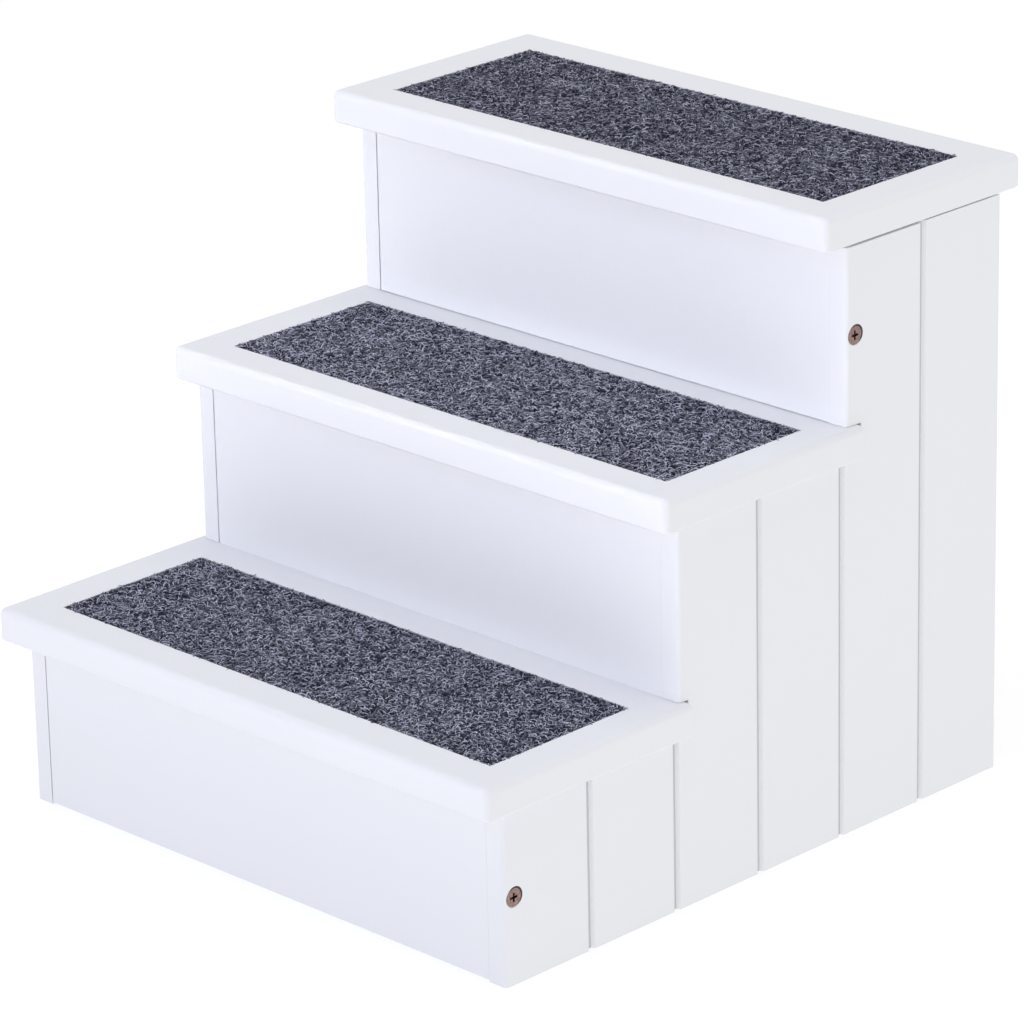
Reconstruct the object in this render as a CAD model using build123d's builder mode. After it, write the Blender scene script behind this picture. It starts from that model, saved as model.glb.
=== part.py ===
"""Three-step pet stairs: grooved side panels, boarded risers, treads with a carpet each.

x runs across the steps, y from the front to the back and z up, in millimetres.
The origin is on the floor, below the middle of the whole outline.
"""

import os
from collections import namedtuple

from build123d import *

os.makedirs("parts", exist_ok=True)

# Flight of steps
outer_width = 390.0  # over the outer faces of the two side panels
step_going = 140.0  # from one riser's face to the next
top_going = 133.0  # from the upper riser's face to the panels' back edges
step_rise = 126.0
lower_drop = 1.0  # how far the lower and middle treads lie below an even rise
middle_drop = 2.4

# Side panels, cut from one board each and grooved to look like six planks
panel_thickness = 13.0
panel_front_radius = 2.6  # long outer edges in front
panel_back_radius = 0.6
panel_foot_gap = 0.2  # between a tread and the panel edge that stands over it
upper_panel_gap = 1.8  # between the upper tread and the panel edge under it
front_plank_drop = 0.5  # how much wider that gap is over the plank in front
end_plank_width = 67.5  # from the panel's front or back edge to its nearest groove
groove_count = 5
groove_width = 5.0
groove_floor_width = 3.6
groove_depth = 2.6

# Risers and back rails, which stand between the side panels
riser_thickness = 15.0
riser_floor_gap = 1.3  # below the lower riser
middle_riser_foot_gap = 0.1
upper_riser_foot_gap = 0.5
rail_thickness = 15.0
rail_height = 60.0
rail_floor_gap = 22.0  # below the lower rail
left_seam_gap = 0.9  # between the left ends of the risers and rails and the side panel
right_seam_gap = 0.1

# Treads, which lie on the side panels, risers and upper rail
tread_thickness = 20.0
lower_side_overhang = 6.0
middle_side_overhang = 5.0
upper_side_overhang = 3.0
lower_overhang = 18.0  # each tread's nosing, in front of the riser below it
middle_overhang = 14.6
upper_overhang = 20.9
lower_housing = 7.0  # how far a tread runs in behind the face of the next riser
middle_housing = 12.0
back_overhang = 15.0  # of the upper tread, behind the side panels
housing_clearance = 0.5
tread_corner_radius = 4.3
nosing_radius = 4.2
under_edge_chamfer = 1.2

# Carpets, glued into pockets routed in the treads
pocket_sink = 4.0
pocket_corner_radius = 0.8
pocket_shift = 3.0  # to the right of the middle
lower_pocket_width = 351.0
lower_pocket_run = 109.0
lower_pocket_setback = 8.0  # behind the face of the riser below
middle_pocket_width = 350.0
middle_pocket_run = 111.5
middle_pocket_setback = 9.5
upper_pocket_width = 343.0
upper_pocket_run = 115.5
upper_pocket_setback = 4.0
carpet_thickness = 4.3
carpet_clearance = 0.3

# Hidden fittings and their holes have this many sides
fitting_sides = 8

# Beech dowels
dowel_diameter = 6.0
dowel_fit = 0.1  # of a dowel in its hole, on the diameter
dowel_end_gap = 0.5
panel_dowel_depth = 8.0  # in a side panel's inner face
board_dowel_depth = 15.0  # in a riser or rail, from the panel's inner face
tread_dowel_depth = 10.0  # in a tread's underside
ledge_dowel_depth = 20.0  # below a tread's underside, in a side panel's upper edge

# Cam locks and their bolts
cam_diameter = 12.0
cam_thickness = 9.4
cam_fit = 0.2  # of a cam in its hole, on the diameter
cam_end_gap = 0.2
cam_slot_width = 1.6
cam_slot_length = 7.0
cam_slot_sink = 1.2
cam_distance = 24.0  # from the joint to the cam's middle
cam_bolt_diameter = 5.0
cam_bolt_head_diameter = 6.4
cam_bolt_neck_diameter = 3.6
cam_bolt_neck_length = 4.0
cam_bolt_head_thickness = 2.6
cam_bolt_hole_diameter = 7.0
tread_screw_depth = 10.0  # of the bolt's thread in a tread
panel_screw_depth = 9.0  # of the bolt's thread in a side panel

# Countersunk bolts with barrel nuts; the bolts show on the side panels
bolt_diameter = 6.0
bolt_length = 50.0
bolt_head_diameter = 11.0
bolt_head_rim = 0.3
bolt_head_sink = 0.3
bolt_hole_fit = 0.6  # of the bolt in its hole, on the diameter
bolt_recess_width = 1.5
bolt_recess_length = 5.6
bolt_recess_sink = 1.8
bolt_tip_gap = 1.0
nut_diameter = 10.0
nut_length = 12.0
nut_fit = 0.3
nut_thread_fit = 0.2
nut_distance = 30.5  # from the panel's inner face to the barrel nut's middle
nut_slot_width = 1.5
nut_slot_sink = 1.0

# Where the fittings stand, as shares of the board that they hold
ledge_cam_shares = (0.5,)
ledge_dowel_shares = (0.12, 0.88)
end_dowel_shares = (0.18, 0.82)
middle_riser_cam_share = 0.5
rail_cam_share = 0.32
rail_dowel_share = 0.7
bolt_share = 0.49

# Places worked out from the sizes above
panel_depth = 2 * step_going + top_going
overall_depth = lower_overhang + panel_depth + back_overhang
front_y = lower_overhang - overall_depth / 2
back_y = front_y + panel_depth
panel_outer_x = outer_width / 2
panel_inner_x = panel_outer_x - panel_thickness
panel_middle_x = panel_outer_x - panel_thickness / 2
board_width = 2 * panel_inner_x - left_seam_gap - right_seam_gap
board_middle_x = (left_seam_gap - right_seam_gap) / 2
plank_pitch = (panel_depth - 2 * end_plank_width) / (groove_count - 1)
last_groove_y = back_y - end_plank_width
lower_top = step_rise - lower_drop
middle_top = 2 * step_rise - middle_drop
upper_top = 3 * step_rise
dowel_hole_diameter = dowel_diameter + dowel_fit
bolt_hole_diameter = bolt_diameter + bolt_hole_fit
nut_hole_diameter = nut_diameter + nut_fit
cam_hole_diameter = cam_diameter + cam_fit
cam_hole_depth = cam_thickness + cam_end_gap
cam_bolt_hole_depth = cam_distance + cam_bolt_head_thickness / 2 + cam_end_gap

to_right = (1, 0, 0)
to_left = (-1, 0, 0)
to_front = (0, -1, 0)
to_back = (0, 1, 0)
upwards = (0, 0, 1)
downwards = (0, 0, -1)

# A step has its riser's face and foot, its panels' front edge from foot_z to panel_z,
# the place end_y, end_z where that outline goes on, and its tread with the pocket
Step = namedtuple(
    "Step",
    "name face_y going riser_foot_z foot_z panel_z end_y end_z top_z side_overhang tread_front tread_back"
    " pocket_width pocket_run pocket_setback",
)
lower_step = Step(
    "lower",
    face_y=front_y,
    going=step_going,
    riser_foot_z=riser_floor_gap,
    foot_z=0,
    panel_z=lower_top - tread_thickness,
    end_y=front_y + step_going + lower_housing + housing_clearance,
    end_z=lower_top + panel_foot_gap,
    top_z=lower_top,
    side_overhang=lower_side_overhang,
    tread_front=front_y - lower_overhang,
    tread_back=front_y + step_going + lower_housing,
    pocket_width=lower_pocket_width,
    pocket_run=lower_pocket_run,
    pocket_setback=lower_pocket_setback,
)
middle_step = Step(
    "middle",
    face_y=front_y + step_going,
    going=step_going,
    riser_foot_z=lower_top + middle_riser_foot_gap,
    foot_z=lower_top + panel_foot_gap,
    panel_z=middle_top - tread_thickness,
    end_y=front_y + 2 * step_going + middle_housing + housing_clearance,
    end_z=middle_top + panel_foot_gap,
    top_z=middle_top,
    side_overhang=middle_side_overhang,
    tread_front=front_y + step_going - middle_overhang,
    tread_back=front_y + 2 * step_going + middle_housing,
    pocket_width=middle_pocket_width,
    pocket_run=middle_pocket_run,
    pocket_setback=middle_pocket_setback,
)
upper_step = Step(
    "upper",
    face_y=front_y + 2 * step_going,
    going=top_going,
    riser_foot_z=middle_top + upper_riser_foot_gap,
    foot_z=middle_top + panel_foot_gap,
    panel_z=upper_top - tread_thickness - upper_panel_gap,
    end_y=back_y,
    end_z=0,
    top_z=upper_top,
    side_overhang=upper_side_overhang,
    tread_front=front_y + 2 * step_going - upper_overhang,
    tread_back=back_y + back_overhang,
    pocket_width=upper_pocket_width,
    pocket_run=upper_pocket_run,
    pocket_setback=upper_pocket_setback,
)
steps = (lower_step, middle_step, upper_step)

# A board stands between the side panels, and is either a riser or a back rail
Board = namedtuple("Board", "name kind place front_y thickness foot_z top_z")
risers = {
    step.name: Board(
        f"riser_{step.name}",
        "riser",
        step.name,
        front_y=step.face_y,
        thickness=riser_thickness,
        foot_z=step.riser_foot_z,
        top_z=step.top_z - tread_thickness,
    )
    for step in steps
}
rail_feet = {"lower": rail_floor_gap, "upper": upper_top - tread_thickness - rail_height}
rails = {
    place: Board(
        f"back_rail_{place}",
        "rail",
        place,
        front_y=back_y - rail_thickness,
        thickness=rail_thickness,
        foot_z=foot_z,
        top_z=foot_z + rail_height,
    )
    for place, foot_z in rail_feet.items()
}


def finish(piece, name):
    """Name a finished piece and write it out."""
    piece.part.label = name
    export_step(piece.part, f"parts/{name}.step")


def end_points(board, share, x):
    """A point on the right and one on the left, at a share of a board's height."""
    y = board.front_y + board.thickness / 2
    z = board.foot_z + share * (board.top_z - board.foot_z)
    return [(x, y, z), (-x, y, z)]


def ledge_points(step, shares, x, z):
    """Points on the right and the left, at shares of a step's going."""
    return [(side * x, step.face_y + share * step.going, z) for side in (1, -1) for share in shares]


def outward(points):
    """Planes at the points that look away from the middle, their x downwards."""
    return [Plane(point, downwards, to_right if point[0] > 0 else to_left) for point in points]


def inward(points):
    """Planes at the points that look towards the middle, their x downwards."""
    return [Plane(point, downwards, to_left if point[0] > 0 else to_right) for point in points]


def facing(points, direction):
    """Planes at the points that all look the same way, their x towards the middle."""
    return [Plane(point, to_left if point[0] > 0 else to_right, direction) for point in points]


def on_right(points):
    return [point for point in points if point[0] > 0]


def shifted(points, y_shift):
    return [(x, y + y_shift, z) for x, y, z in points]


def drill(planes, diameter, depth):
    """Cut a hole straight down from each plane into the piece that is being made."""
    with BuildSketch(*planes) as mouths:
        RegularPolygon(diameter / 2, fitting_sides)
    extrude(mouths.sketch, amount=-depth, mode=Mode.SUBTRACT)


# Which boards have which fittings in their ends
bolted = {risers["lower"]: bolt_share, risers["upper"]: bolt_share}
cammed = {
    risers["middle"]: middle_riser_cam_share,
    rails["lower"]: rail_cam_share,
    rails["upper"]: rail_cam_share,
}
dowelled = {riser: end_dowel_shares for riser in risers.values()}
dowelled.update({rail: (rail_dowel_share,) for rail in rails.values()})

# Side panels
with BuildPart() as side_panel_right:
    with BuildSketch(Plane.YZ.offset(panel_inner_x)):
        with BuildLine():
            outline = []
            for step in steps:
                outline.append((step.face_y, step.foot_z))
                if step is upper_step:
                    outline.append((step.face_y, step.panel_z - front_plank_drop))
                    outline.append((last_groove_y, step.panel_z - front_plank_drop))
                    outline.append((last_groove_y, step.panel_z))
                else:
                    outline.append((step.face_y, step.panel_z))
                outline.append((step.end_y, step.panel_z))
                outline.append((step.end_y, step.end_z))
            Polyline(*outline, close=True)
        make_face()
    extrude(amount=panel_thickness)
    outer_face = side_panel_right.faces().sort_by(Axis.X)[-1]
    upright_edges = outer_face.edges().filter_by(Axis.Z)
    long_edges = upright_edges.filter_by(lambda edge: edge.length > 2 * tread_thickness).sort_by(Axis.Y)
    fillet(long_edges[:-1], panel_front_radius)
    fillet(long_edges[-1], panel_back_radius)

    # Grooves down the outer face
    with BuildSketch(Plane.XY):
        with Locations((panel_outer_x, front_y + panel_depth / 2)):
            with GridLocations(0, plank_pitch, 1, groove_count):
                Polygon(
                    (0, -groove_width / 2),
                    (-groove_depth, -groove_floor_width / 2),
                    (-groove_depth, groove_floor_width / 2),
                    (0, groove_width / 2),
                    align=None,
                )
    extrude(amount=upper_top, mode=Mode.SUBTRACT)

    # Countersunk holes for the bolts
    for riser, share in bolted.items():
        with Locations(*outward(on_right(end_points(riser, share, panel_outer_x)))):
            CounterSinkHole(
                bolt_hole_diameter / 2,
                bolt_head_diameter / 2 + bolt_head_rim + bolt_head_sink,
                depth=panel_thickness,
            )

    # Dowel and cam bolt holes for the risers and rails, in the inner face
    for board, shares in dowelled.items():
        for share in shares:
            ends = on_right(end_points(board, share, panel_inner_x))
            drill(inward(ends), dowel_hole_diameter, panel_dowel_depth)
    for board, share in cammed.items():
        ends = on_right(end_points(board, share, panel_inner_x))
        drill(inward(ends), cam_bolt_diameter, panel_screw_depth)

    # Dowel and cam bolt holes down from the treads, and the cams' holes in the inner face
    for step in steps:
        under_z = step.top_z - tread_thickness
        dowels = on_right(ledge_points(step, ledge_dowel_shares, panel_middle_x, under_z))
        drill(facing(dowels, upwards), dowel_hole_diameter, ledge_dowel_depth)
        bolts = on_right(ledge_points(step, ledge_cam_shares, panel_middle_x, under_z))
        drill(facing(bolts, upwards), cam_bolt_hole_diameter, cam_bolt_hole_depth)
        cams = on_right(ledge_points(step, ledge_cam_shares, panel_inner_x, under_z - cam_distance))
        drill(inward(cams), cam_hole_diameter, cam_hole_depth)
finish(side_panel_right, "side_panel_right")

with BuildPart() as side_panel_left:
    mirror(side_panel_right.part, about=Plane.YZ)
finish(side_panel_left, "side_panel_left")

# Risers and back rails. Barrel nuts and cams go in from the risers' backs and the rails' fronts
boards = {board: to_back for board in risers.values()}
boards.update({board: to_front for board in rails.values()})
for board, hidden_side in boards.items():
    hidden_shift = board.thickness / 2 if hidden_side is to_back else -board.thickness / 2
    with BuildPart() as upright:
        with BuildSketch(Plane.XZ.offset(-board.front_y)):
            with Locations((board_middle_x, (board.foot_z + board.top_z) / 2)):
                Rectangle(board_width, board.top_z - board.foot_z)
        extrude(amount=-board.thickness)
        for share in dowelled[board]:
            drill(outward(end_points(board, share, panel_inner_x)), dowel_hole_diameter, board_dowel_depth)
        if board in bolted:
            ends = end_points(board, bolted[board], panel_inner_x)
            drill(outward(ends), bolt_hole_diameter, bolt_length + bolt_tip_gap - panel_thickness)
            nuts = shifted(end_points(board, bolted[board], panel_inner_x - nut_distance), hidden_shift)
            drill(facing(nuts, hidden_side), nut_hole_diameter, (board.thickness + nut_length) / 2)
        if board in cammed:
            ends = end_points(board, cammed[board], panel_inner_x)
            drill(outward(ends), cam_bolt_hole_diameter, cam_bolt_hole_depth)
            cams = shifted(end_points(board, cammed[board], panel_inner_x - cam_distance), hidden_shift)
            drill(facing(cams, hidden_side), cam_hole_diameter, cam_hole_depth)
    finish(upright, board.name)

# Treads, each with rounded edges, a routed pocket and holes in its underside, and their carpets
for step in steps:
    under_z = step.top_z - tread_thickness
    tread_width = outer_width + 2 * step.side_overhang
    tread_run = step.tread_back - step.tread_front
    pocket_middle_y = step.face_y + step.pocket_setback + step.pocket_run / 2
    with BuildPart() as tread:
        with BuildSketch(Plane.XY.offset(under_z)):
            with Locations((0, step.tread_front + tread_run / 2)):
                RectangleRounded(tread_width, tread_run, tread_corner_radius)
        extrude(amount=tread_thickness)
        fillet(tread.edges().group_by(Axis.Z)[-1], nosing_radius)
        chamfer(tread.edges().group_by(Axis.Z)[0], under_edge_chamfer)
        with BuildSketch(Plane.XY.offset(step.top_z)):
            with Locations((pocket_shift, pocket_middle_y)):
                RectangleRounded(step.pocket_width, step.pocket_run, pocket_corner_radius)
        extrude(amount=-pocket_sink, mode=Mode.SUBTRACT)
        dowels = ledge_points(step, ledge_dowel_shares, panel_middle_x, under_z)
        drill(facing(dowels, downwards), dowel_hole_diameter, tread_dowel_depth)
        bolts = ledge_points(step, ledge_cam_shares, panel_middle_x, under_z)
        drill(facing(bolts, downwards), cam_bolt_diameter, tread_screw_depth)
    finish(tread, f"tread_{step.name}")

    with BuildPart() as carpet:
        with BuildSketch(Plane.XY.offset(step.top_z - pocket_sink)):
            with Locations((pocket_shift, pocket_middle_y)):
                RectangleRounded(
                    step.pocket_width - 2 * carpet_clearance,
                    step.pocket_run - 2 * carpet_clearance,
                    pocket_corner_radius,
                )
        extrude(amount=carpet_thickness)
    finish(carpet, f"carpet_{step.name}")


def dowel(length):
    """A dowel that stands on z from the origin."""
    with BuildPart() as piece:
        with BuildSketch():
            RegularPolygon(dowel_diameter / 2, fitting_sides)
        extrude(amount=length)
    return piece.part


def cam_bolt(screw_depth):
    """A cam bolt whose joint is at the origin, its head up z and its screw end down z."""
    head_z = cam_distance - cam_bolt_head_thickness / 2
    neck_z = head_z - cam_bolt_neck_length
    with BuildPart() as piece:
        with BuildSketch(Plane.XY.offset(-screw_depth)):
            RegularPolygon(cam_bolt_diameter / 2, fitting_sides)
        extrude(amount=screw_depth + neck_z)
        with BuildSketch(Plane.XY.offset(neck_z)):
            RegularPolygon(cam_bolt_neck_diameter / 2, fitting_sides)
        extrude(amount=cam_bolt_neck_length)
        with BuildSketch(Plane.XY.offset(head_z)):
            RegularPolygon(cam_bolt_head_diameter / 2, fitting_sides)
        extrude(amount=cam_bolt_head_thickness)
    return piece.part


def cam_lock(board_thickness):
    """A cam whose face is at the origin and looks up z, with the bolt's way in from the low end of x."""
    with BuildPart() as piece:
        with BuildSketch():
            RegularPolygon(cam_diameter / 2, fitting_sides)
        extrude(amount=-cam_thickness)
        way_in = Plane((-cam_diameter, 0, -board_thickness / 2), upwards, to_left)
        drill([way_in], cam_bolt_hole_diameter, cam_diameter + cam_bolt_hole_depth - cam_distance)
        with BuildSketch():
            Rectangle(cam_slot_length, cam_slot_width)
            Rectangle(cam_slot_width, cam_slot_length)
        extrude(amount=-cam_slot_sink, mode=Mode.SUBTRACT)
    return piece.part


def group(name, piece, planes):
    """One node of like fittings, with a copy of the piece on each plane."""
    with BuildPart() as fittings:
        with Locations(*planes):
            add(piece)
    finish(fittings, name)


# Dowels in the ends of the risers and rails
end_dowel = dowel(board_dowel_depth + panel_dowel_depth - 2 * dowel_end_gap)
dowel_start_x = panel_inner_x - board_dowel_depth + dowel_end_gap
for board, shares in dowelled.items():
    starts = [point for share in shares for point in end_points(board, share, dowel_start_x)]
    group(f"{board.kind}_dowels_{board.place}", end_dowel, outward(starts))

# Dowels, cam bolts and cams of the treads
ledge_dowel = dowel(tread_dowel_depth + ledge_dowel_depth - 2 * dowel_end_gap)
for step in steps:
    under_z = step.top_z - tread_thickness
    start_z = under_z - ledge_dowel_depth + dowel_end_gap
    starts = ledge_points(step, ledge_dowel_shares, panel_middle_x, start_z)
    group(f"tread_dowels_{step.name}", ledge_dowel, facing(starts, upwards))
    bolts = ledge_points(step, ledge_cam_shares, panel_middle_x, under_z)
    group(f"tread_cam_bolts_{step.name}", cam_bolt(tread_screw_depth), facing(bolts, downwards))
    cams = ledge_points(step, ledge_cam_shares, panel_inner_x, under_z - cam_distance)
    group(f"tread_cams_{step.name}", cam_lock(panel_thickness), inward(cams))

# Cam bolts and cams of the middle riser and the rails
for board, share in cammed.items():
    hidden_side = boards[board]
    hidden_shift = board.thickness / 2 if hidden_side is to_back else -board.thickness / 2
    bolts = end_points(board, share, panel_inner_x)
    group(f"{board.kind}_cam_bolts_{board.place}", cam_bolt(panel_screw_depth), inward(bolts))
    cams = shifted(end_points(board, share, panel_inner_x - cam_distance), hidden_shift)
    group(f"{board.kind}_cams_{board.place}", cam_lock(board.thickness), facing(cams, hidden_side))

# Side bolts, each with a turned head that has a cross recess
bolt_head_length = bolt_head_rim + (bolt_head_diameter - bolt_diameter) / 2
with BuildPart() as side_bolt:
    with BuildSketch(Plane.XZ):
        with BuildLine():
            Polyline(
                (0, 0),
                (bolt_head_diameter / 2, 0),
                (bolt_head_diameter / 2, -bolt_head_rim),
                (bolt_diameter / 2, -bolt_head_length),
                (0, -bolt_head_length),
                close=True,
            )
        make_face()
    revolve(axis=Axis.Z)
    with BuildSketch(Plane.XY.offset(-bolt_length)):
        RegularPolygon(bolt_diameter / 2, fitting_sides)
    extrude(amount=bolt_length - bolt_head_length)
    with BuildSketch():
        Rectangle(bolt_recess_length, bolt_recess_width)
        Rectangle(bolt_recess_width, bolt_recess_length)
    extrude(amount=-bolt_recess_sink, mode=Mode.SUBTRACT)

# Barrel nuts, each with a slot in its end and a hole for the bolt along x
with BuildPart() as barrel_nut:
    with BuildSketch():
        RegularPolygon(nut_diameter / 2, fitting_sides)
    extrude(amount=-nut_length)
    nut_bore = Plane((-nut_diameter, 0, -nut_length / 2), upwards, to_left)
    drill([nut_bore], bolt_diameter + nut_thread_fit, 2 * nut_diameter)
    with BuildSketch():
        Rectangle(nut_diameter, nut_slot_width)
    extrude(amount=-nut_slot_sink, mode=Mode.SUBTRACT)

for board, share in bolted.items():
    heads = end_points(board, share, panel_outer_x - bolt_head_sink)
    group(f"side_bolts_{board.place}", side_bolt.part, outward(heads))
    nuts = shifted(end_points(board, share, panel_inner_x - nut_distance), nut_length / 2)
    group(f"barrel_nuts_{board.place}", barrel_nut.part, facing(nuts, to_back))
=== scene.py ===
"""Pet stairs, dressed for their picture: painted boards, heathered carpets and bronze bolts."""

import math

import bmesh
import bpy
from mathutils import Matrix, Vector, noise


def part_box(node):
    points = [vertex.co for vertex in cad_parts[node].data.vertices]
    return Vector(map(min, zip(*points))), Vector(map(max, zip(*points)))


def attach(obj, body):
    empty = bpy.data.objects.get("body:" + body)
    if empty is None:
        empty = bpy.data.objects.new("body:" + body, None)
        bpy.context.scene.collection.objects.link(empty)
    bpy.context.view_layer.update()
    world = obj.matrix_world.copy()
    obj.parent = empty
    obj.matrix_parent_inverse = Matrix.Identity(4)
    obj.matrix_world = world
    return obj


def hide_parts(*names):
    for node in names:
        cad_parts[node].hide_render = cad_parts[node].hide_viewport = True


bl_info = {
    "name": "Pet Stairs",
    "version": (1, 0, 0),
    "blender": (4, 5, 0),
    "location": "3D View > Sidebar > Pet Stairs",
    "description": "Paints the boards, lays the carpets, finishes the fittings and sets the studio",
    "category": "Object",
}

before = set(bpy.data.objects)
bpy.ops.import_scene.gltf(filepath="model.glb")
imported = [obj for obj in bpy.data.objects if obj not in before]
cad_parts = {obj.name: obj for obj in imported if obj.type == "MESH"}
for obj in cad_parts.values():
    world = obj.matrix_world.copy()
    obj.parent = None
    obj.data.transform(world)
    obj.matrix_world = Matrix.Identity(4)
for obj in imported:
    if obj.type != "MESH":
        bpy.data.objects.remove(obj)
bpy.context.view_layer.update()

millimetre = 0.001
step_names = ("lower", "middle", "upper")
bolted_steps = ("lower", "upper")
rail_names = ("lower", "upper")
panel_sides = ("left", "right")
cloud_middle = 0.5  # soft noise runs from 0 to 1


class PaintSettings(bpy.types.PropertyGroup):
    """The sprayed paint on the boards."""

    colour: bpy.props.FloatVectorProperty(
        name="Colour",
        description="Colour of the paint",
        subtype="COLOR", min=0, max=1, default=(0.86, 0.865, 0.885),
    )
    shade_colour: bpy.props.FloatVectorProperty(
        name="Shade",
        description="Colour where the coat is a little thinner",
        subtype="COLOR", min=0, max=1, default=(0.845, 0.855, 0.875),
    )
    roughness: bpy.props.FloatProperty(
        name="Roughness",
        description="How dull the paint is",
        subtype="FACTOR", min=0, max=1, default=0.5,
    )
    ripple_size: bpy.props.FloatProperty(
        name="Ripple size",
        description="Width of the ripples that spraying leaves",
        unit="LENGTH", min=0.0001, default=0.0022,
    )
    ripple_depth: bpy.props.FloatProperty(
        name="Ripple depth",
        description="Depth of those ripples",
        unit="LENGTH", min=0, default=0.00003,
    )
    # painted shade: a dark colour on the groove floors that stands in for the shadow inside the
    # grooves
    groove_shade_colour: bpy.props.FloatVectorProperty(
        name="Grooves",
        description="Colour of the shadowed paint on the floor of the side panels' grooves",
        subtype="COLOR", min=0, max=1, default=(0.57, 0.575, 0.59),
    )
    # painted highlight: a colour lighter than the paint on the groove flanks, standing in for the
    # light that falls on them
    flank_highlight_colour: bpy.props.FloatVectorProperty(
        name="Groove flanks",
        description="Colour of the highlighted paint on the flanks of those grooves",
        subtype="COLOR", min=0, max=1, default=(0.97, 0.97, 0.975),
    )
    groove_count: bpy.props.IntProperty(
        name="Groove count",
        description="Number of grooves in a side panel",
        min=2, default=5,
    )
    end_plank_width: bpy.props.FloatProperty(
        name="End plank",
        description="From a side panel's front or back edge to its nearest groove",
        unit="LENGTH", min=0, default=0.0675,
    )
    groove_floor_width: bpy.props.FloatProperty(
        name="Groove floor",
        description="Width of a groove's floor",
        unit="LENGTH", min=0, default=0.0036,
    )
    # unpainted board and painted shadow: a near black colour for the countersinks' raw rim and the
    # shadow of their walls
    bare_and_shadow_colour: bpy.props.FloatVectorProperty(
        name="Bare board",
        description="Colour of the fibreboard in and beside the bolts' countersinks",
        subtype="COLOR", min=0, max=1, default=(0.07, 0.062, 0.05),
    )


class CarpetSettings(bpy.types.PropertyGroup):
    """The needle-punched carpet in each tread."""

    dark_colour: bpy.props.FloatVectorProperty(
        name="Dark fibre",
        description="Colour of the darkest fibres",
        subtype="COLOR", min=0, max=1, default=(0.021, 0.024, 0.043),
    )
    light_colour: bpy.props.FloatVectorProperty(
        name="Light fibre",
        description="Colour of the lightest fibres",
        subtype="COLOR", min=0, max=1, default=(0.74, 0.75, 0.89),
    )
    felt_sink: bpy.props.FloatProperty(
        name="Felt sink",
        description="How far the felt lies below the top of the packed carpet",
        unit="LENGTH", min=0, default=0.0009,
    )
    felt_thickness: bpy.props.FloatProperty(
        name="Felt thickness",
        description="Thickness of the felt",
        unit="LENGTH", min=0.0005, default=0.0031,
    )
    loop_radius: bpy.props.FloatProperty(
        name="Loop radius",
        description="Radius of the arch that each fibre bundle makes",
        unit="LENGTH", min=0.0002, default=0.0013,
    )
    strand_radius: bpy.props.FloatProperty(
        name="Strand radius",
        description="Half the thickness of a fibre bundle",
        unit="LENGTH", min=0.00005, default=0.0003,
    )
    spacing: bpy.props.FloatProperty(
        name="Spacing",
        description="Least distance between two bundles of the same shade",
        unit="LENGTH", min=0.0005, default=0.00171,
    )
    lean: bpy.props.FloatProperty(
        name="Lean",
        description="How far a bundle may lean over",
        subtype="ANGLE", min=0, default=0.9,
    )
    seed: bpy.props.IntProperty(
        name="Seed",
        description="Seed of the scattered bundles",
        min=0, default=7,
    )
    brightness: bpy.props.FloatVectorProperty(
        name="Brightness",
        description="How light the lightest bundles of the lower, middle and upper carpet are",
        subtype="XYZ", min=0, default=(1.34, 1.42, 1.0),
    )


class FittingSettings(bpy.types.PropertyGroup):
    """The bolts and the hidden fittings."""

    bronze_colour: bpy.props.FloatVectorProperty(
        name="Bronze",
        description="Colour of the bolt heads",
        subtype="COLOR", min=0, max=1, default=(0.38, 0.26, 0.23),
    )
    tarnish_colour: bpy.props.FloatVectorProperty(
        name="Tarnish",
        description="Colour of the bolt heads where they are darkest",
        subtype="COLOR", min=0, max=1, default=(0.09, 0.04, 0.032),
    )
    zinc_colour: bpy.props.FloatVectorProperty(
        name="Zinc",
        description="Colour of the cams, cam bolts and barrel nuts",
        subtype="COLOR", min=0, max=1, default=(0.60, 0.61, 0.62),
    )
    beech_colour: bpy.props.FloatVectorProperty(
        name="Beech",
        description="Colour of the dowels",
        subtype="COLOR", min=0, max=1, default=(0.55, 0.38, 0.22),
    )


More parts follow.
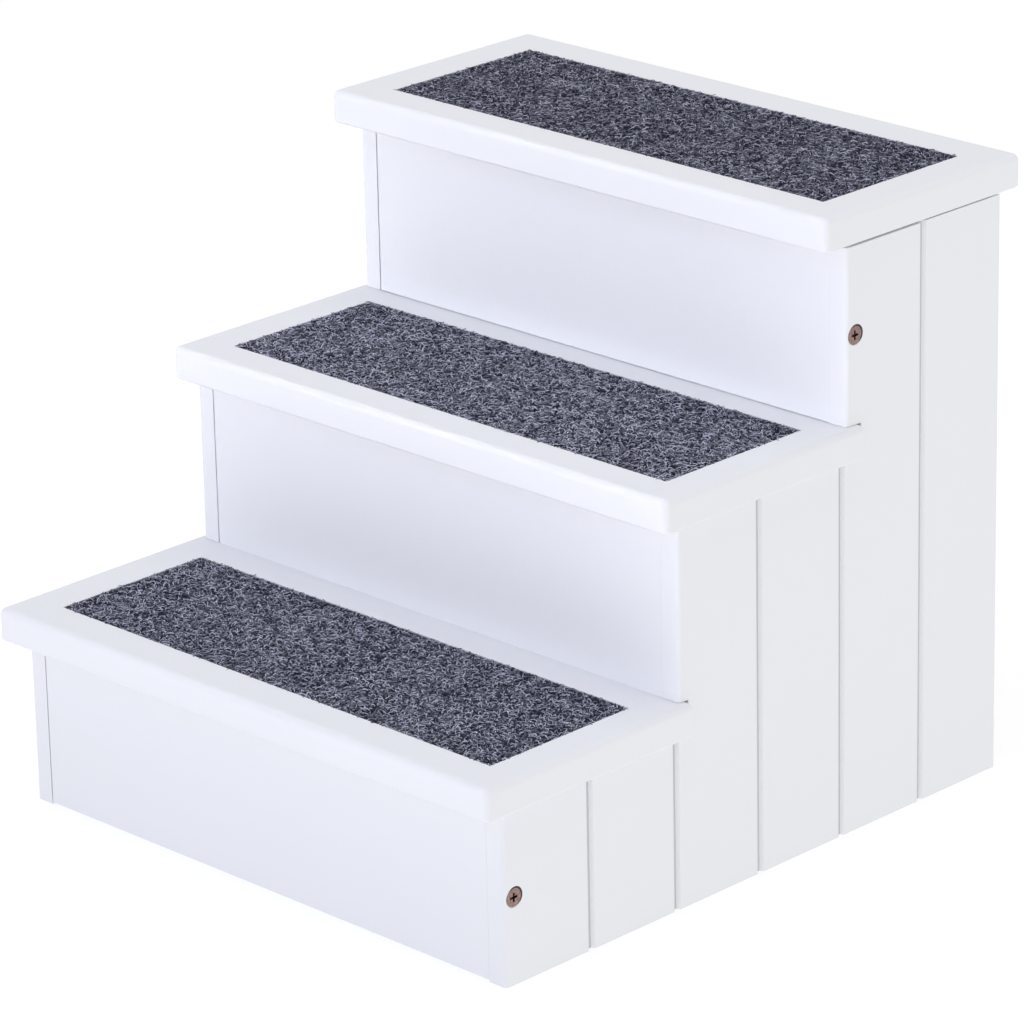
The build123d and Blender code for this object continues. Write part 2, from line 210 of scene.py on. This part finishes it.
class StageSettings(bpy.types.PropertyGroup):
    """The studio: floor, lights and camera."""

    camera_place: bpy.props.FloatVectorProperty(
        name="Camera place",
        description="Where the camera stands",
        subtype="TRANSLATION", unit="LENGTH", default=(2.1285, -2.1260, 1.3),
    )
    camera_turn: bpy.props.FloatProperty(
        name="Turn",
        description="How far the camera looks round to the left of the steps",
        subtype="ANGLE", default=math.radians(45.004),
    )
    camera_dip: bpy.props.FloatProperty(
        name="Dip",
        description="How far the camera looks down",
        subtype="ANGLE", default=math.radians(20.557),
    )
    camera_tilt: bpy.props.FloatProperty(
        name="Tilt",
        description="How far the camera leans over to its right",
        subtype="ANGLE", default=math.radians(1.235),
    )
    focal_length: bpy.props.FloatProperty(
        name="Focal length",
        description="Focal length of the lens",
        unit="CAMERA", min=1, default=193.8,
    )
    room_light: bpy.props.FloatProperty(
        name="Room light",
        description="Strength of the even light all round",
        min=0, default=0.70,
    )
    front_light: bpy.props.FloatProperty(
        name="Front light",
        description="Power of the cool light high in front of the steps",
        unit="POWER", min=0, default=13.0,
    )
    side_light: bpy.props.FloatProperty(
        name="Side light",
        description="Power of the neutral light on the right",
        unit="POWER", min=0, default=7.1,
    )
    top_light: bpy.props.FloatProperty(
        name="Top light",
        description="Power of the light overhead",
        unit="POWER", min=0, default=15.3,
    )
    camera_light: bpy.props.FloatProperty(
        name="Camera light",
        description="Power of the blue light beside the camera",
        unit="POWER", min=0, default=4.7,
    )
    front_strip: bpy.props.FloatProperty(
        name="Front strip",
        description="Power of the narrow light low in front of the steps",
        unit="POWER", min=0, default=0.36,
    )
    left_strip: bpy.props.FloatProperty(
        name="Left strip",
        description="Power of the narrow light low on the left",
        unit="POWER", min=0, default=0.05,
    )
    floor_glow: bpy.props.FloatProperty(
        name="Floor glow",
        description="How far the floor is lit from below, as a light table is",
        min=0, default=0.5,
    )


class StairsSettings(bpy.types.PropertyGroup):
    """All the settings of the pet stairs."""

    paint: bpy.props.PointerProperty(
        type=PaintSettings, name="Paint", description="The boards' paint",
    )
    carpet: bpy.props.PointerProperty(
        type=CarpetSettings, name="Carpet", description="The carpets",
    )
    fitting: bpy.props.PointerProperty(
        type=FittingSettings, name="Fittings", description="Bolts and the like",
    )
    stage: bpy.props.PointerProperty(
        type=StageSettings, name="Stage", description="Floor, lights and camera",
    )


class Output:
    """A node's output that can stand in a sum: each operator adds its Math node."""

    def __init__(self, tree, socket):
        self.tree = tree
        self.socket = socket

    def math(self, operation, first, second=0.0):
        return self.tree.node("ShaderNodeMath", {"operation": operation}, {0: first, 1: second})

    def __add__(self, other):
        return self.math("ADD", self, other)

    def __radd__(self, other):
        return self.math("ADD", other, self)

    def __sub__(self, other):
        return self.math("SUBTRACT", self, other)

    def __rsub__(self, other):
        return self.math("SUBTRACT", other, self)

    def __mul__(self, other):
        return self.math("MULTIPLY", self, other)

    def __rmul__(self, other):
        return self.math("MULTIPLY", other, self)

    def __pow__(self, other):
        return self.math("POWER", self, other)

    def __lt__(self, other):
        return self.math("LESS_THAN", self, other)

    def __gt__(self, other):
        return self.math("GREATER_THAN", self, other)

    def __abs__(self):
        return self.math("ABSOLUTE", self)


class Tree:
    """A node tree that is built one node at a time."""

    def __init__(self, tree):
        self.tree = tree

    def node(self, kind, settings=None, sockets=None, output=0):
        """Add a node: its settings first, then the value or link of each socket."""
        node = self.tree.nodes.new(kind)
        for name, value in (settings or {}).items():
            setattr(node, name, value)
        for key, value in (sockets or {}).items():
            socket = self.find(node.inputs, key)
            if isinstance(value, Output):
                self.tree.links.new(value.socket, socket)
            else:
                socket.default_value = value
        return Output(self, self.find(node.outputs, output)) if node.outputs else node

    @staticmethod
    def find(sockets, key):
        """The socket with that number, or the first one in use that has that name."""
        if isinstance(key, int):
            return sockets[key]
        return next(socket for socket in sockets if socket.enabled and socket.name == key)


class Finish(Tree):
    """A new material, whose even values go straight on its shader."""

    def __init__(self, name, values):
        self.material = bpy.data.materials.new(name)
        self.material.use_nodes = True
        super().__init__(self.material.node_tree)
        self.shader = self.tree.nodes["Principled BSDF"]
        for socket, value in values.items():
            self.shader.inputs[socket].default_value = value

    def feed(self, socket, output):
        """Let that output vary one of the shader's sockets over the surface."""
        self.tree.links.new(output.socket, self.shader.inputs[socket])

    def place(self):
        """Where a point of the surface lies in the part's own frame."""
        return self.node("ShaderNodeTexCoord", output="Object")

    def coordinates(self):
        """The same place as three numbers: to the right, towards the back and up."""
        split = self.node("ShaderNodeSeparateXYZ", None, {"Vector": self.place()})
        return [Output(self, socket) for socket in split.socket.node.outputs]

    def cloud(self, vector, size, detail=3.0):
        """Soft noise from 0 to 1, with patches of about that size in metres."""
        sockets = {"Vector": vector, "Scale": 1 / size, "Detail": detail, "Roughness": 0.5}
        return self.node("ShaderNodeTexNoise", None, sockets, "Fac")

    def blend(self, factor, first, second):
        """From the first colour at a factor of 0 to the second at 1."""
        sockets = {"Factor": factor, "A": first, "B": second}
        return self.node("ShaderNodeMix", {"data_type": "RGBA"}, sockets, "Result")

    def bump(self, height, distance):
        """A relief of that depth in metres."""
        sockets = {"Height": height, "Strength": 1.0, "Distance": distance}
        return self.node("ShaderNodeBump", None, sockets)


def opaque(colour):
    """The colour with the fourth value that a socket wants."""
    return (*colour, 1.0)


def dress(node, material):
    """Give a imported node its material."""
    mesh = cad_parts[node].data
    mesh.materials.clear()
    mesh.materials.append(material)


def settle(piece):
    """Let a finished piece ride on the stairs."""
    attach(piece, "root")


def bolt_centre(step):
    """How far back and how high the bolts through that riser lie."""
    low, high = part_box(f"side_bolts_{step}")
    return (low.y + high.y) / 2, (low.z + high.z) / 2


def head_radius():
    """The radius of a bolt's head."""
    low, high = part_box("side_bolts_lower")
    return (high.z - low.z) / 2


def dark_ring_distance(finish, step):
    """How far a point lies from the middle of the dark ring of unpainted board and painted shadow
    round that riser's bolts.
    """
    # the ring's middle is set above and behind the bolt's, where the painted shadow of the
    # countersink's wall falls as a crescent
    ring_behind = 0.35 * millimetre
    ring_above = 0.5 * millimetre
    across, height = finish.coordinates()[1:]
    centre_y, centre_z = bolt_centre(step)
    behind = across - (centre_y + ring_behind)
    above = height - (centre_z + ring_above)
    return (behind ** 2 + above ** 2) ** 0.5


def paint_groove_shade_and_highlight(finish, settings, colour):
    """The paint's colour, with painted shade darkening the floor of a panel's grooves and a painted
    highlight lightening their flanks.
    """
    flank_width = 0.7 * millimetre
    flank_start = 0.05 * millimetre  # how far the flank's colour reaches in over the floor
    face_margin = 0.1 * millimetre  # keeps that colour off the panel's face
    groove_reach = 3 * millimetre  # deeper than a groove
    side, across = finish.coordinates()[:2]
    side = abs(side)
    low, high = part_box("side_panel_right")
    first = low.y + settings.end_plank_width
    last = high.y - settings.end_plank_width
    half_pitch = (last - first) / (settings.groove_count - 1) / 2
    beside = abs(finish.node(
        "ShaderNodeMath", {"operation": "WRAP"},
        {0: across - first, 1: half_pitch, 2: -half_pitch},
    ))
    half_floor = settings.groove_floor_width / 2
    reach = half_floor + flank_width
    in_groove = beside < reach
    for inside in (
        across > first - reach,
        across < last + reach,
        side < high.x - face_margin,
        side > high.x - groove_reach,
    ):
        in_groove = in_groove * inside
    on_flank = beside > half_floor - flank_start
    # painted shade on the groove floors, painted highlight on their flanks
    floor_shade_colour, flank_highlight_colour = opaque(settings.groove_shade_colour), opaque(settings.flank_highlight_colour)
    shade = finish.blend(on_flank, floor_shade_colour, flank_highlight_colour)
    return finish.blend(in_groove, colour, shade)


def paint_finish(settings, with_countersinks):
    """Satin white paint; on a side panel also painted shade and highlight in its grooves, and
    unpainted board with painted shadow round the bolts.
    """
    patch_size = 90 * millimetre
    scuff_size = 14 * millimetre
    scuff_range = 0.12
    dark_ring_rim = 0.55 * millimetre  # how far the dark ring of unpainted board and painted shadow reaches outside a bolt's head
    name = "panel_paint" if with_countersinks else "board_paint"
    finish = Finish(name, {"Specular IOR Level": 0.2})
    place = finish.place()
    patches = finish.cloud(place, patch_size, detail=4)
    colour = finish.blend(patches, opaque(settings.colour), opaque(settings.shade_colour))
    if with_countersinks:
        # painted shade on the groove floors and painted highlight on their flanks
        colour = paint_groove_shade_and_highlight(finish, settings, colour)
        # a dark ring round each bolt: unpainted board, with a painted shadow crescent above and
        # behind the head
        for step in bolted_steps:
            bare_and_shadowed = dark_ring_distance(finish, step) < head_radius() + dark_ring_rim
            colour = finish.blend(bare_and_shadowed, colour, opaque(settings.bare_and_shadow_colour))
    finish.feed("Base Color", colour)
    scuffs = finish.cloud(place, scuff_size)
    finish.feed("Roughness", settings.roughness + (scuffs - cloud_middle) * scuff_range)
    ripples = finish.cloud(place, settings.ripple_size, detail=2)
    finish.feed("Normal", finish.bump(ripples, settings.ripple_depth))
    return finish.material


def carpet_finish(name, settings, lightest, mottle_range, drift_range):
    """Heathered fibres, each bundle with a shade of its own unless the lightest is 0."""
    drift_size = 16 * millimetre
    mottle_size = 1.1 * millimetre
    fuzz_size = 0.5 * millimetre
    fuzz_depth = 0.25 * millimetre
    finish = Finish(name, {"Roughness": 0.95, "Specular IOR Level": 0.12})
    place = finish.place()
    drift = finish.cloud(place, drift_size)
    mottle = finish.cloud(place, mottle_size, detail=2)
    shade = (mottle - cloud_middle) * mottle_range
    if lightest:
        own = finish.node("ShaderNodeAttribute", {"attribute_name": "shade"}, None, "Fac")
        shade = own * lightest + shade
    shade = shade + (drift - cloud_middle) * drift_range
    colour = finish.blend(shade, opaque(settings.dark_colour), opaque(settings.light_colour))
    finish.feed("Base Color", colour)
    fuzz = finish.cloud(place, fuzz_size, detail=2)
    finish.feed("Normal", finish.bump(fuzz, fuzz_depth))
    return finish.material


def bronze_finish(settings):
    """Antique bronze, tarnished in spots, in the cross recess and down the shank."""
    face_depth = 0.25 * millimetre  # what lies deeper than this in a bolt is tarnished
    sunk_darkness = 0.95
    spot_size = 1.5 * millimetre
    spot_contrast, spot_offset = 1.6, 0.55
    least_roughness, roughness_range = 0.34, 0.2
    scratch_size = 0.4 * millimetre
    scratch_depth = 0.02 * millimetre
    finish = Finish("bolt_bronze", {"Metallic": 0.75})
    place = finish.place()
    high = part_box("side_bolts_lower")[1]
    sunk = abs(finish.coordinates()[0]) < high.x - face_depth
    spots = finish.cloud(place, spot_size)
    darkness = sunk * sunk_darkness + (1 - sunk) * (spots * spot_contrast - spot_offset)
    bronze, tarnish = opaque(settings.bronze_colour), opaque(settings.tarnish_colour)
    finish.feed("Base Color", finish.blend(darkness, bronze, tarnish))
    finish.feed("Roughness", least_roughness + spots * roughness_range)
    scratches = finish.cloud(place, scratch_size, detail=2)
    finish.feed("Normal", finish.bump(scratches, scratch_depth))
    return finish.material


def zinc_finish(settings):
    """Dull zinc plating with a faint spangle."""
    spangle_size = 2.5 * millimetre
    dull_share = 0.8
    least_roughness, roughness_range = 0.35, 0.2
    scratch_size = 0.5 * millimetre
    scratch_depth = 0.02 * millimetre
    finish = Finish("fitting_zinc", {"Metallic": 0.9})
    place = finish.place()
    spangle = finish.cloud(place, spangle_size)
    dull = opaque([dull_share * value for value in settings.zinc_colour])
    finish.feed("Base Color", finish.blend(spangle, opaque(settings.zinc_colour), dull))
    finish.feed("Roughness", least_roughness + spangle * roughness_range)
    finish.feed("Normal", finish.bump(finish.cloud(place, scratch_size), scratch_depth))
    return finish.material


def beech_finish(settings):
    """Beech with short dark flecks."""
    fleck_size = 0.9 * millimetre
    fleck_share = 0.65  # of the beech's own brightness
    fleck_depth = 0.04 * millimetre
    finish = Finish("beech_dowel", {"Roughness": 0.6})
    flecks = finish.cloud(finish.place(), fleck_size, detail=5)
    dark = opaque([fleck_share * value for value in settings.beech_colour])
    finish.feed("Base Color", finish.blend(flecks, opaque(settings.beech_colour), dark))
    finish.feed("Normal", finish.bump(flecks, fleck_depth))
    return finish.material


def felt_sheet(step, settings):
    """The top of one carpet's felt: a fine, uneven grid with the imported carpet's outline."""
    cell = 3 * millimetre
    wave_size = 12 * millimetre
    wave_height = 0.18 * millimetre
    low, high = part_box(f"carpet_{step}")
    size = high - low
    middle = (low + high) / 2
    middle.z = high.z - settings.felt_sink
    shape = bmesh.new()
    bmesh.ops.create_grid(
        shape,
        x_segments=round(size.x / cell),
        y_segments=round(size.y / cell),
        size=0.5,
        matrix=Matrix.Translation(middle) @ Matrix.Diagonal((size.x, size.y, 1, 1)),
    )
    for vertex in shape.verts:
        vertex.co.z += wave_height * noise.noise(vertex.co / wave_size)
    mesh = bpy.data.meshes.new(f"carpet_felt_{step}")
    shape.to_mesh(mesh)
    shape.free()
    felt = bpy.data.objects.new(mesh.name, mesh)
    bpy.context.scene.collection.objects.link(felt)
    return felt


def thicken(felt, thickness):
    """Give the felt's top a body below it."""
    solidify = felt.modifiers.new("Thickness", "SOLIDIFY")
    solidify.thickness = thickness
    solidify.offset = -1
    make_plain(felt)


def make_plain(piece):
    """Turn what the piece's modifiers make into its plain mesh."""
    depsgraph = bpy.context.evaluated_depsgraph_get()
    evaluated = piece.evaluated_get(depsgraph)
    mesh = bpy.data.meshes.new_from_object(evaluated, depsgraph=depsgraph)
    piece.modifiers.clear()
    old = piece.data
    piece.data = mesh
    bpy.data.meshes.remove(old)
    mesh.name = piece.name


def pile_tree():
    """A tree that scatters arched fibre bundles over a surface, each with its own shade."""
    arch_points = 5
    arch_start, arch_sweep = math.radians(-10), math.radians(200)
    strand_sides = 3
    densest = 600000.0  # points on a square metre, more than the spacing lets through
    back_share = 0.4  # of the lean, towards the front and back
    smallest, largest = (0.8, 0.8, 0.35), (1.7, 1.2, 0.85)  # scales of the arch
    darkest = -0.1  # below 0, so that some bundles are as dark as the dark fibre all over

    group = bpy.data.node_groups.new("Carpet pile", "GeometryNodeTree")
    interface = group.interface
    interface.new_socket("Surface", in_out="INPUT", socket_type="NodeSocketGeometry")
    interface.new_socket("Pile", in_out="OUTPUT", socket_type="NodeSocketGeometry")
    for name in ("Spacing", "Loop Radius", "Strand Radius", "Lean", "Brightness"):
        interface.new_socket(name, in_out="INPUT", socket_type="NodeSocketFloat")
    interface.new_socket("Seed", in_out="INPUT", socket_type="NodeSocketInt")
    interface.new_socket("Finish", in_out="INPUT", socket_type="NodeSocketMaterial")

    tree = Tree(group)
    given = group.nodes.new("NodeGroupInput")
    taken = {socket.name: Output(tree, socket) for socket in given.outputs if socket.name}
    seed, lean = taken["Seed"], taken["Lean"]

    def draw(kind, least, most, own_seed):
        """A random value of its own for each bundle."""
        sockets = {"Min": least, "Max": most, "Seed": own_seed}
        return tree.node("FunctionNodeRandomValue", {"data_type": kind}, sockets, "Value")

    arc = tree.node(
        "GeometryNodeCurveArc", {"mode": "RADIUS"},
        {"Resolution": arch_points, "Radius": taken["Loop Radius"],
         "Start Angle": arch_start, "Sweep Angle": arch_sweep},
    )
    ring = tree.node(
        "GeometryNodeCurvePrimitiveCircle", None,
        {"Resolution": strand_sides, "Radius": taken["Strand Radius"]},
    )
    strand = tree.node(
        "GeometryNodeCurveToMesh", None,
        {"Curve": arc, "Profile Curve": ring, "Fill Caps": True},
    )
    arch = tree.node(
        "GeometryNodeTransform", None,
        {"Geometry": strand, "Rotation": (math.pi / 2, 0, 0)},
    )
    points = tree.node(
        "GeometryNodeDistributePointsOnFaces", {"distribute_method": "POISSON"},
        {"Mesh": taken["Surface"], "Distance Min": taken["Spacing"], "Density Max": densest,
         "Seed": seed},
    )
    least_turn = tree.node(
        "ShaderNodeCombineXYZ", None,
        {"X": lean * -1.0, "Y": lean * -back_share, "Z": 0.0},
    )
    most_turn = tree.node(
        "ShaderNodeCombineXYZ", None,
        {"X": lean, "Y": lean * back_share, "Z": 2 * math.pi},
    )
    turn = draw("FLOAT_VECTOR", least_turn, most_turn, seed)
    turned = tree.node("FunctionNodeEulerToRotation", None, {"Euler": turn})
    scale = draw("FLOAT_VECTOR", smallest, largest, seed + 1.0)
    bundles = tree.node(
        "GeometryNodeInstanceOnPoints", None,
        {"Points": points, "Instance": arch, "Rotation": turned, "Scale": scale},
    )
    shade = draw("FLOAT", darkest, taken["Brightness"], seed + 2.0)
    shaded = tree.node(
        "GeometryNodeStoreNamedAttribute", {"data_type": "FLOAT", "domain": "INSTANCE"},
        {"Geometry": bundles, "Name": "shade", "Value": shade},
    )
    real = tree.node("GeometryNodeRealizeInstances", None, {"Geometry": shaded})
    finished = tree.node(
        "GeometryNodeSetMaterial", None,
        {"Geometry": real, "Material": taken["Finish"]},
    )
    tree.node("NodeGroupOutput", None, {"Pile": finished})
    return group


def pile(step, felt, name, group, values):
    """One shade of a carpet's pile, as a plain mesh over its felt."""
    piece = bpy.data.objects.new(f"carpet_{name}_{step}", felt.data.copy())
    bpy.context.scene.collection.objects.link(piece)
    modifier = piece.modifiers.new("Pile", "NODES")
    modifier.node_group = group
    for socket in group.interface.items_tree:
        if socket.in_out == "INPUT" and socket.name in values:
            modifier[socket.identifier] = values[socket.name]
    make_plain(piece)
    return piece


class PETSTAIRS_OT_paint_boards(bpy.types.Operator):
    """Paint the side panels, risers, treads and back rails"""

    bl_idname = "petstairs.paint_boards"
    bl_label = "Paint Boards"

    def execute(self, context):
        settings = context.scene.pet_stairs.paint
        panel_paint = paint_finish(settings, with_countersinks=True)
        board_paint = paint_finish(settings, with_countersinks=False)
        for side in panel_sides:
            dress(f"side_panel_{side}", panel_paint)
        for step in step_names:
            dress(f"riser_{step}", board_paint)
            dress(f"tread_{step}", board_paint)
        for rail in rail_names:
            dress(f"back_rail_{rail}", board_paint)
        return {"FINISHED"}


class PETSTAIRS_OT_lay_carpets(bpy.types.Operator):
    """Lay a felt with dark and light pile in each tread"""

    bl_idname = "petstairs.lay_carpets"
    bl_label = "Lay Carpets"

    def execute(self, context):
        settings = context.scene.pet_stairs.carpet
        step_seeds, pile_seeds = 10, 100  # how far apart the steps' and the piles' seeds lie
        felt_finish = carpet_finish(
            "carpet_felt", settings, lightest=0, mottle_range=0.7, drift_range=0.2,
        )
        piles = {
            name: carpet_finish(
                f"carpet_{name}", settings, lightest, mottle_range=0.3, drift_range=0.3,
            )
            for name, lightest in (("dark_pile", 0.35), ("light_pile", 1.0))
        }
        group = pile_tree()
        for number, step in enumerate(step_names):
            felt = felt_sheet(step, settings)
            values = {
                "Spacing": settings.spacing,
                "Loop Radius": settings.loop_radius,
                "Strand Radius": settings.strand_radius,
                "Lean": settings.lean,
                "Brightness": settings.brightness[number],
            }
            pieces = []
            for offset, (name, material) in enumerate(piles.items()):
                values["Seed"] = settings.seed + step_seeds * number + pile_seeds * offset
                values["Finish"] = material
                pieces.append(pile(step, felt, name, group, values))
            thicken(felt, settings.felt_thickness)
            felt.data.materials.append(felt_finish)
            for piece in (felt, *pieces):
                settle(piece)
            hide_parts(f"carpet_{step}")
        return {"FINISHED"}


class PETSTAIRS_OT_finish_bolts(bpy.types.Operator):
    """Give the side bolts their worn bronze"""

    bl_idname = "petstairs.finish_bolts"
    bl_label = "Finish Bolts"

    def execute(self, context):
        bronze = bronze_finish(context.scene.pet_stairs.fitting)
        for step in bolted_steps:
            dress(f"side_bolts_{step}", bronze)
        return {"FINISHED"}


class PETSTAIRS_OT_finish_hidden_fittings(bpy.types.Operator):
    """Give the cams, cam bolts, barrel nuts and dowels their metal and wood"""

    bl_idname = "petstairs.finish_hidden_fittings"
    bl_label = "Finish Hidden Fittings"

    def execute(self, context):
        settings = context.scene.pet_stairs.fitting
        zinc = zinc_finish(settings)
        beech = beech_finish(settings)
        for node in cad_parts:
            if "dowels" in node:
                dress(node, beech)
            elif "cam" in node or "nuts" in node:
                dress(node, zinc)
        return {"FINISHED"}


def look_matrix(settings):
    """The camera's place and turn, from its turn to the left, its dip and its tilt."""
    turn, dip, tilt = settings.camera_turn, -settings.camera_dip, -settings.camera_tilt
    level = Vector((math.cos(turn), math.sin(turn), 0))
    ahead = Vector((
        -math.sin(turn) * math.cos(dip),
        math.cos(turn) * math.cos(dip),
        math.sin(dip),
    ))
    rise = level.cross(ahead)
    right = level * math.cos(tilt) + rise * math.sin(tilt)
    up = rise * math.cos(tilt) - level * math.sin(tilt)
    rotation = Matrix((right, up, -ahead)).transposed().to_4x4()
    return Matrix.Translation(settings.camera_place) @ rotation


def set_camera(scene, settings):
    """The camera, where the photograph was taken from."""
    lens = bpy.data.cameras.new("camera")
    lens.sensor_fit = "HORIZONTAL"
    lens.sensor_width = 36
    lens.lens = settings.focal_length
    lens.clip_end = 50
    camera = bpy.data.objects.new("camera", lens)
    camera.matrix_world = look_matrix(settings)
    scene.collection.objects.link(camera)
    scene.camera = camera


def lay_floor(scene, settings):
    """A large pale floor that glows a little."""
    half = 12.0
    mesh = bpy.data.meshes.new("studio_floor")
    corners = [(-half, -half, 0), (half, -half, 0), (half, half, 0), (-half, half, 0)]
    mesh.from_pydata(corners, [], [(0, 1, 2, 3)])
    floor = bpy.data.objects.new("studio_floor", mesh)
    scene.collection.objects.link(floor)
    finish = Finish("studio_floor", {
        "Base Color": (0.62, 0.62, 0.62, 1),
        "Roughness": 0.9,
        "Specular IOR Level": 0.1,
        "Emission Color": (1, 1, 1, 1),
        "Emission Strength": settings.floor_glow,
    })
    mesh.materials.append(finish.material)


def light_room(scene, settings):
    """The even light all round."""
    world = bpy.data.worlds.new("studio")
    world.use_nodes = True
    sky = world.node_tree.nodes["Background"]
    sky.inputs["Color"].default_value = (1.0, 0.99, 0.975, 1)
    sky.inputs["Strength"].default_value = settings.room_light
    scene.world = world


def add_light(name, power, colour, place, target, size, spread):
    """An area light of that size in metres, kept to a beam of that many degrees."""
    light = bpy.data.lights.new(name, "AREA")
    light.shape = "RECTANGLE"
    light.size, light.size_y = size
    light.spread = math.radians(spread)
    light.energy = power
    light.color = colour
    lamp = bpy.data.objects.new(name, light)
    lamp.location = place
    lamp.rotation_euler = (Vector(target) - Vector(place)).to_track_quat("-Z", "Y").to_euler()
    bpy.context.scene.collection.objects.link(lamp)


def add_lights(settings):
    """Four large soft lights, and two strips for the risers, which the treads would shade."""
    stairs_middle = (0, 0, 0.19)
    soft = ((2.0, 2.0), 180)  # size and spread
    strip = ((1.4, 0.3), 9)
    for name, colour, place, target, (size, spread) in (
        ("front_light", (0.36, 0.51, 1.0), (-0.5, -2.5, 2.2), stairs_middle, soft),
        ("side_light", (0.89, 1.0, 0.90), (3.0, 0.3, 0.8), stairs_middle, soft),
        ("top_light", (0.965, 0.96, 1.0), (0.0, 0.0, 3.0), stairs_middle, soft),
        ("camera_light", (0.15, 0.15, 1.0), (2.4, -2.6, 1.6), stairs_middle, soft),
        ("front_strip", (0.91, 0.89, 1.0), (-0.3, -2.6, 0.45), (0, 0, 0.28), strip),
        ("left_strip", (0.85, 1.0, 0.70), (-1.8, -1.9, 0.5), (0, 0, 0.30), strip),
    ):
        add_light(name, getattr(settings, name), colour, place, target, size, spread)


class PETSTAIRS_OT_set_stage(bpy.types.Operator):
    """Set up the pale floor, the soft lights and the camera"""

    bl_idname = "petstairs.set_stage"
    bl_label = "Set Stage"

    def execute(self, context):
        scene = context.scene
        settings = scene.pet_stairs.stage
        scene.view_settings.view_transform = "Standard"
        lay_floor(scene, settings)
        light_room(scene, settings)
        add_lights(settings)
        set_camera(scene, settings)
        return {"FINISHED"}


class PETSTAIRS_PT_panel(bpy.types.Panel):
    """Lists the steps that dress the stairs"""

    bl_idname = "PETSTAIRS_PT_panel"
    bl_label = "Pet Stairs"
    bl_space_type = "VIEW_3D"
    bl_region_type = "UI"
    bl_category = "Pet Stairs"

    def draw(self, context):
        for operator in operators:
            self.layout.operator(operator.bl_idname)


operators = (
    PETSTAIRS_OT_set_stage,
    PETSTAIRS_OT_paint_boards,
    PETSTAIRS_OT_lay_carpets,
    PETSTAIRS_OT_finish_bolts,
    PETSTAIRS_OT_finish_hidden_fittings,
)
classes = (
    PaintSettings,
    CarpetSettings,
    FittingSettings,
    StageSettings,
    StairsSettings,
    *operators,
    PETSTAIRS_PT_panel,
)


def register():
    for each in classes:
        bpy.utils.register_class(each)
    bpy.types.Scene.pet_stairs = bpy.props.PointerProperty(type=StairsSettings)


def unregister():
    del bpy.types.Scene.pet_stairs
    for each in reversed(classes):
        bpy.utils.unregister_class(each)


def main():
    register()
    bpy.ops.petstairs.set_stage()
    bpy.ops.petstairs.paint_boards()
    bpy.ops.petstairs.lay_carpets()
    bpy.ops.petstairs.finish_bolts()
    bpy.ops.petstairs.finish_hidden_fittings()


if __name__ == "__main__":
    main()
